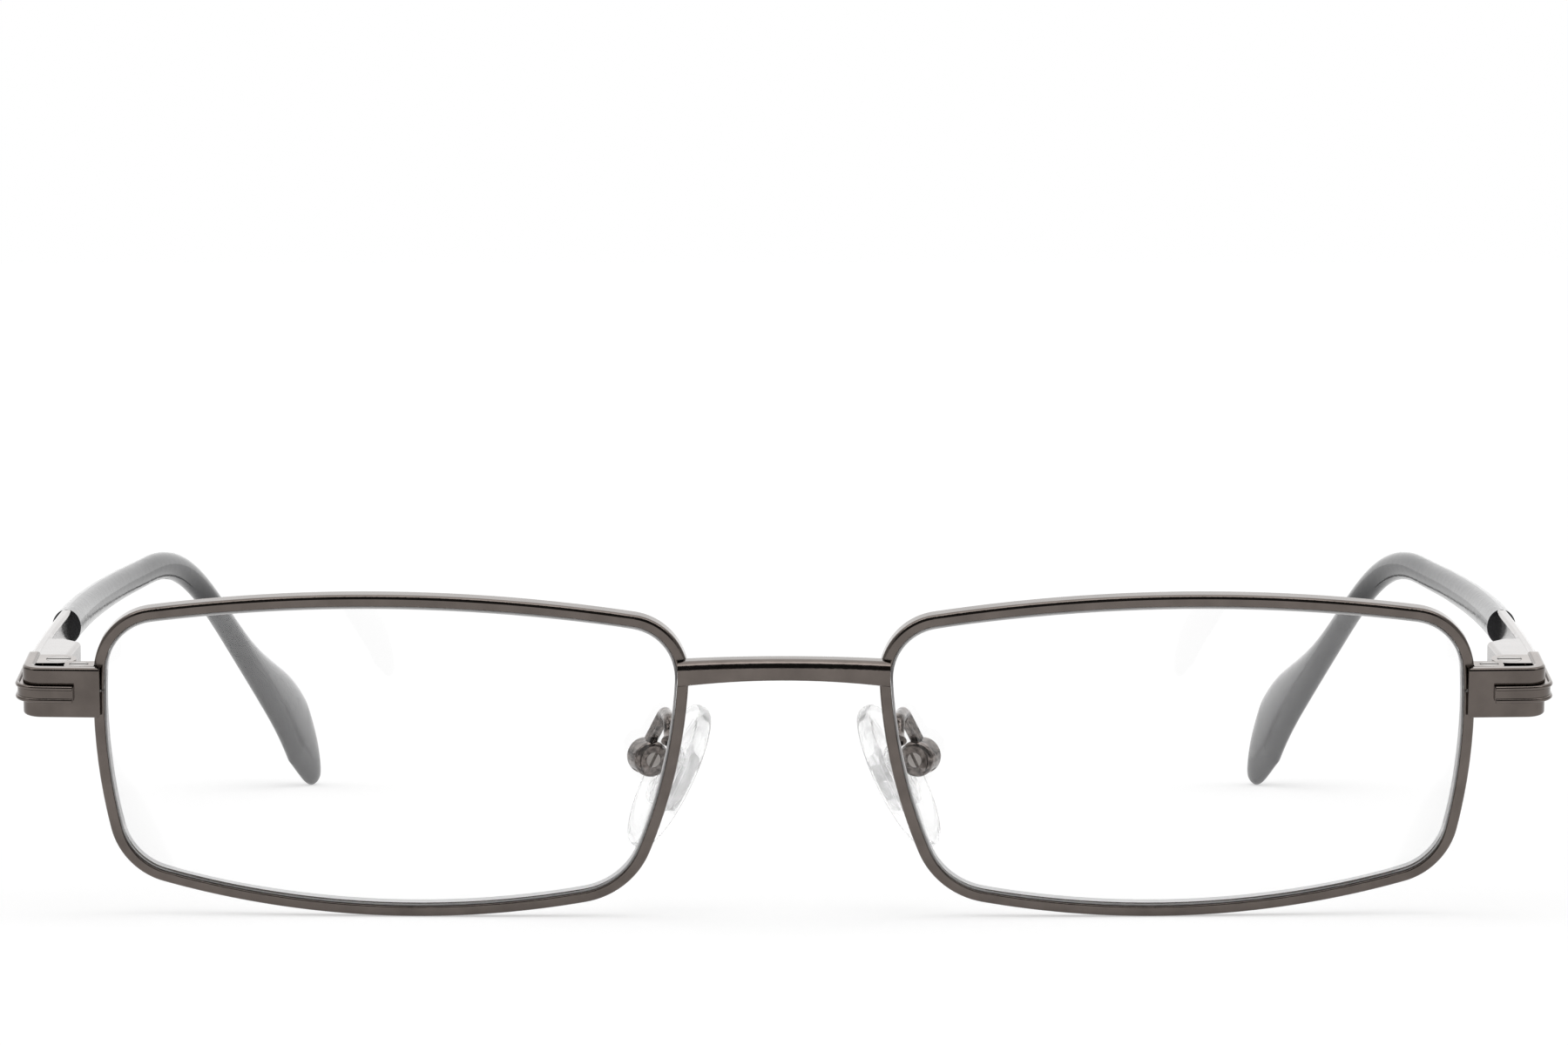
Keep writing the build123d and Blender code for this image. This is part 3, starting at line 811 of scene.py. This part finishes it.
@dataclass
class NosePads:
    """Pad arms with their screws and inserts, and the soft pads modelled round the inserts."""

    finishes: Finishes
    stance: Stance = Stance()

    # The pad: its middle in the upright front in millimetres, how it is turned there, its
    # sizes, the insets and rises of its crown, and the cosine that tells its flat ends
    middle: Triple = (10.6, 10.0, 11.0)
    splay_deg: float = 25.0
    frontal_deg: float = 31.0
    length: float = 14.5 * MM
    width: float = 7.5 * MM
    edge_thickness: float = 0.9 * MM
    corners: int = 44
    steps: tuple[tuple[float, float], ...] = (
        (0.35 * MM, 0.34 * MM), (0.7 * MM, 0.18 * MM), (1.2 * MM, 0.06 * MM)
    )
    flat_above: float = 0.9
    smooth_levels: int = 2
    pocket_play: float = 0.03 * MM
    pad_sharp_deg: float = 35.0

    # The ring in the cup: its middle in the upright front in millimetres, its radii and corners
    screw: Triple = (12.56, 9.085, 13.09)
    ring_radii: tuple[float, float] = (0.72 * MM, 0.13 * MM)
    ring_corners: tuple[int, int] = (32, 10)
    ring_sharp_deg: float = 180.0

    # The solder: its foot in the upright front in millimetres, the way it points there, and
    # its heights and radii
    foot: Triple = (10.3, 3.3, 16.1)
    foot_direction: Triple = (0.05, 0.75, 0.66)
    bead: tuple[tuple[float, float], ...] = (
        (0.0, 0.92 * MM), (0.14 * MM, 0.86 * MM), (0.3 * MM, 0.76 * MM),
        (0.5 * MM, 0.68 * MM), (0.75 * MM, 0.64 * MM),
    )
    bead_sharp_deg: float = 40.0

    def seat(self, side: Side) -> Matrix:
        """Find the place of a pad's own frame: X along it, Y across it, Z towards the nose.

        Args:
            side: The wearer's side.

        Returns:
            The place in the model's frame.
        """
        splay, frontal = math.radians(self.splay_deg), math.radians(self.frontal_deg)
        across = Vector((math.sin(splay), math.cos(splay), 0.0))
        along = Vector((-math.sin(frontal), 0.0, math.cos(frontal)))
        along = (along - across * along.dot(across)).normalized()
        return self.stance.place(side, self.middle, along, across)

    def crown(self, piece: bpy.types.Object, upward: float) -> None:
        """Raise one flat end of a pad in steps towards its middle.

        Args:
            piece: The pad.
            upward: 1 for the end on the nose's side, -1 for the rim's side.
        """
        bpy.ops.mesh.select_all(action="DESELECT")
        bpy.ops.object.mode_set(mode="OBJECT")
        for face in piece.data.polygons:
            face.select = face.normal.z * upward > self.flat_above
        bpy.ops.object.mode_set(mode="EDIT")
        for inset, rise in self.steps:
            bpy.ops.mesh.inset(thickness=inset)
            bpy.ops.transform.translate(value=(0.0, 0.0, upward * rise))

    def pocket(self, piece: bpy.types.Object, side: Side) -> None:
        """Hollow a pad where its hard insert sits.

        Args:
            piece: The pad, in its place.
            side: The wearer's side.
        """
        cutter = merged_copy(side.node("pad_insert"))
        bpy.ops.object.mode_set(mode="EDIT")
        bpy.ops.mesh.select_all(action="SELECT")
        bpy.ops.transform.shrink_fatten(value=self.pocket_play)
        bpy.ops.object.mode_set(mode="OBJECT")
        hollow = piece.modifiers.new("pocket", "BOOLEAN")
        hollow.operation = "DIFFERENCE"
        hollow.solver = "EXACT"
        hollow.object = cutter
        apply_modifiers(piece)
        bpy.data.objects.remove(cutter)

    def pad(self, side: Side) -> bpy.types.Object:
        """Model one soft pad: an oval crowned on both sides, with the insert's pocket.

        Args:
            side: The wearer's side.

        Returns:
            The pad.
        """
        bpy.ops.object.select_all(action="DESELECT")
        bpy.ops.mesh.primitive_cylinder_add(
            vertices=self.corners, radius=0.5, depth=1.0, end_fill_type="NGON"
        )
        piece = bpy.context.active_object
        bpy.ops.object.mode_set(mode="EDIT")
        bpy.ops.mesh.select_all(action="SELECT")
        bpy.ops.transform.resize(value=(self.length, self.width, self.edge_thickness))
        self.crown(piece, 1.0)
        self.crown(piece, -1.0)
        bpy.ops.object.mode_set(mode="OBJECT")
        smooth = piece.modifiers.new("smooth", "SUBSURF")
        smooth.levels = smooth.render_levels = self.smooth_levels
        apply_modifiers(piece)
        settle(piece, side.node("soft_nose_pad"), self.seat(side))
        self.pocket(piece, side)
        finish_off(piece, self.pad_sharp_deg, self.finishes.silicone)
        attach(piece, f"pad_{side.value}")
        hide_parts(side.node("nose_pad"))
        return piece

    def cup_ring(self, side: Side) -> bpy.types.Object:
        """Model the rolled ring that the cup has round the pad screw.

        Args:
            side: The wearer's side.

        Returns:
            The ring.
        """
        bpy.ops.object.select_all(action="DESELECT")
        (round_it, round_wire), (radius, wire) = self.ring_corners, self.ring_radii
        bpy.ops.mesh.primitive_torus_add(
            major_segments=round_it, minor_segments=round_wire,
            major_radius=radius, minor_radius=wire,
        )
        piece = bpy.context.active_object
        splay = math.radians(self.splay_deg)
        outward = Vector((-math.sin(splay), -math.cos(splay), 0.0))
        along = Vector((math.cos(splay), -math.sin(splay), 0.0))
        seat = self.stance.place(side, self.screw, along, outward.cross(along))
        settle(piece, side.node("cup_ring"), seat)
        finish_off(piece, self.ring_sharp_deg, self.finishes.screw_steel)
        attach(piece, "front")
        return piece

    def foot_bead(self, side: Side) -> bpy.types.Object:
        """Model the flared solder where a pad arm stands on the rim's back.

        Args:
            side: The wearer's side.

        Returns:
            The bead.
        """
        piece = turned(self.bead)
        outward = Vector(self.foot_direction).normalized()
        along = Vector((1.0, 0.0, 0.0))
        along = (along - outward * along.dot(outward)).normalized()
        seat = self.stance.place(side, self.foot, along, outward.cross(along))
        settle(piece, side.node("arm_solder"), seat)
        finish_off(piece, self.bead_sharp_deg, self.finishes.solder)
        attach(piece, "front")
        return piece

    def build(self) -> None:
        """Dress the arms and inserts and model pads, rings and solder."""
        for side in Side:
            dress(side.node("pad_arm"), self.finishes.wire_plate)
            dress(side.node("pad_screw"), self.finishes.screw_steel)
            dress(side.node("pad_insert"), self.finishes.insert)
            for piece in (self.pad(side), self.cup_ring(side), self.foot_bead(side)):
                LOG.info("%s modelled", piece.name)


@dataclass
class Studio:
    """Camera at the photograph's place, white floor and soft light."""

    camera_place: Triple = (0.0, -0.66301, 0.06856)
    camera_pitch_deg: float = 86.903
    camera_reach: tuple[float, float] = (0.01, 50.0)
    focal_mm: float = 151.2
    sensor_mm: float = 36.0

    # The floor takes the shadow with its own tone, and glows up to the page's level
    floor_size: float = 8.0
    floor_drop: float = 0.02 * MM
    floor_tone: float = 0.62
    page_level: float = 1.015
    daylight: float = 0.9

    lamp_place: Triple = (0.0, 0.05, 0.9)
    lamp_size: float = 0.5
    lamp_power: float = 0.35

    # What glossy surfaces see: the levels of the panel and of the sides, how far sideways the
    # sides begin, and shares of the panel's level by the angle in degrees from the front
    # over the top to the back
    panel_level: float = 3.0
    side_level: float = 0.5
    front_half: float = 0.72
    side_blend: float = 0.12
    front_levels: tuple[tuple[float, float], ...] = (
        (0.0, 0.33), (1.5, 0.3), (7.0, 0.012), (63.0, 0.012), (68.0, 1.0),
        (83.0, 1.0), (89.0, 0.4), (130.0, 0.5), (178.0, 0.46),
    )

    def camera(self) -> None:
        """Add the camera."""
        data = bpy.data.cameras.new("camera")
        data.lens = self.focal_mm
        data.sensor_width = self.sensor_mm
        data.sensor_fit = "HORIZONTAL"
        data.clip_start, data.clip_end = self.camera_reach
        camera = bpy.data.objects.new("camera", data)
        camera.location = self.camera_place
        camera.rotation_euler = (math.radians(self.camera_pitch_deg), 0.0, 0.0)
        bpy.context.scene.collection.objects.link(camera)
        bpy.context.scene.camera = camera

    def floor(self) -> None:
        """Add a white floor that keeps the object's shadow."""
        bpy.ops.object.select_all(action="DESELECT")
        bpy.ops.mesh.primitive_plane_add(size=self.floor_size)
        floor = bpy.context.active_object
        floor.name = "floor"
        floor.location.z = -self.floor_drop
        material = bpy.data.materials.new("white_floor")
        graph = Graph(material)
        matt = graph.add("BsdfDiffuse", Color=(*(self.floor_tone,) * 3, 1.0))
        glow = graph.add("Emission", Color=WHITE)
        page = graph.rays("Is Camera Ray", "Is Glossy Ray", "Is Transmission Ray")
        rest = self.page_level - self.floor_tone * self.daylight
        graph.links.new(graph.reckon("MULTIPLY", page, rest), glow.inputs["Strength"])
        both = graph.add("AddShader")
        graph.links.new(matt.outputs["BSDF"], both.inputs[0])
        graph.links.new(glow.outputs["Emission"], both.inputs[1])
        graph.links.new(both.outputs["Shader"], graph.add("OutputMaterial").inputs["Surface"])
        floor.data.materials.append(material)
        floor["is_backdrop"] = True

    def mirrored(self, graph: Graph) -> bpy.types.Node:
        """Draw the studio that glossy surfaces see: a dark front, a lit panel and grey sides.

        Args:
            graph: The world's nodes.

        Returns:
            The background shader.
        """
        parts = graph.add("SeparateXYZ")
        graph.links.new(graph.add("TexCoord").outputs["Generated"], parts.inputs["Vector"])
        forward = graph.reckon("MULTIPLY", parts.outputs["Y"], -1.0)
        turn = graph.reckon("ARCTAN2", parts.outputs["Z"], forward)
        stops = tuple((angle / 180.0, (level,) * 3) for angle, level in self.front_levels)
        strip = graph.ramp(graph.reckon("DIVIDE", turn, math.pi), stops)
        sideways = graph.reckon("ABSOLUTE", parts.outputs["X"])
        side_start = self.front_half
        aside = graph.spread(sideways, 0.0, 1.0, side_start, side_start + self.side_blend)
        aside.node.interpolation_type = "SMOOTHSTEP"
        level = graph.add("Mix", B=self.side_level / self.panel_level)
        graph.links.new(aside, level.inputs["Factor"])
        graph.links.new(strip, level.inputs["A"])
        bright = graph.reckon("MULTIPLY", level.outputs["Result"], self.panel_level)
        background = graph.add("Background", Color=WHITE)
        graph.links.new(bright, background.inputs["Strength"])
        return background

    def surroundings(self) -> None:
        """Add a white page, even daylight, and the studio that glossy surfaces see."""
        world = bpy.data.worlds.new("studio")
        bpy.context.scene.world = world
        graph = Graph(world)
        plain = graph.add("Background", Color=WHITE, Strength=self.daylight)
        page = graph.add("Background", Color=WHITE, Strength=1.0)
        glossy = graph.mixed(graph.rays("Is Glossy Ray"), plain, self.mirrored(graph))
        seen = graph.mixed(graph.rays("Is Camera Ray", "Is Transmission Ray"), glossy, page)
        graph.links.new(seen.outputs["Shader"], graph.add("OutputWorld").inputs["Surface"])

    def lamp(self) -> None:
        """Hang a soft square lamp over the origin."""
        data = bpy.data.lights.new("overhead", "AREA")
        data.shape = "SQUARE"
        data.size = self.lamp_size
        data.energy = self.lamp_power
        lamp = bpy.data.objects.new("overhead", data)
        lamp.location = self.lamp_place
        lamp.rotation_euler = (-Vector(self.lamp_place)).to_track_quat("-Z", "Y").to_euler()
        bpy.context.scene.collection.objects.link(lamp)

    def build(self) -> None:
        """Add camera, floor, surroundings and lamp, and keep the plain colour transform."""
        self.camera()
        self.floor()
        self.surroundings()
        self.lamp()
        bpy.context.scene.view_settings.view_transform = "Standard"


def corners() -> list[list[float]]:
    """The shown object's lowest and highest corners as plain lists."""
    return [list(corner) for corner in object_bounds()]


def main() -> None:
    """Build everything in order."""
    logging.basicConfig(level=logging.INFO, format="%(message)s")
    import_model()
    finishes = Finishes()
    dressed = (FrontRims(finishes), Hinges(finishes), Temples(finishes), NosePads(finishes))
    for assembly in (*dressed, Studio()):
        assembly.build()


if __name__ == "__main__":
    main()
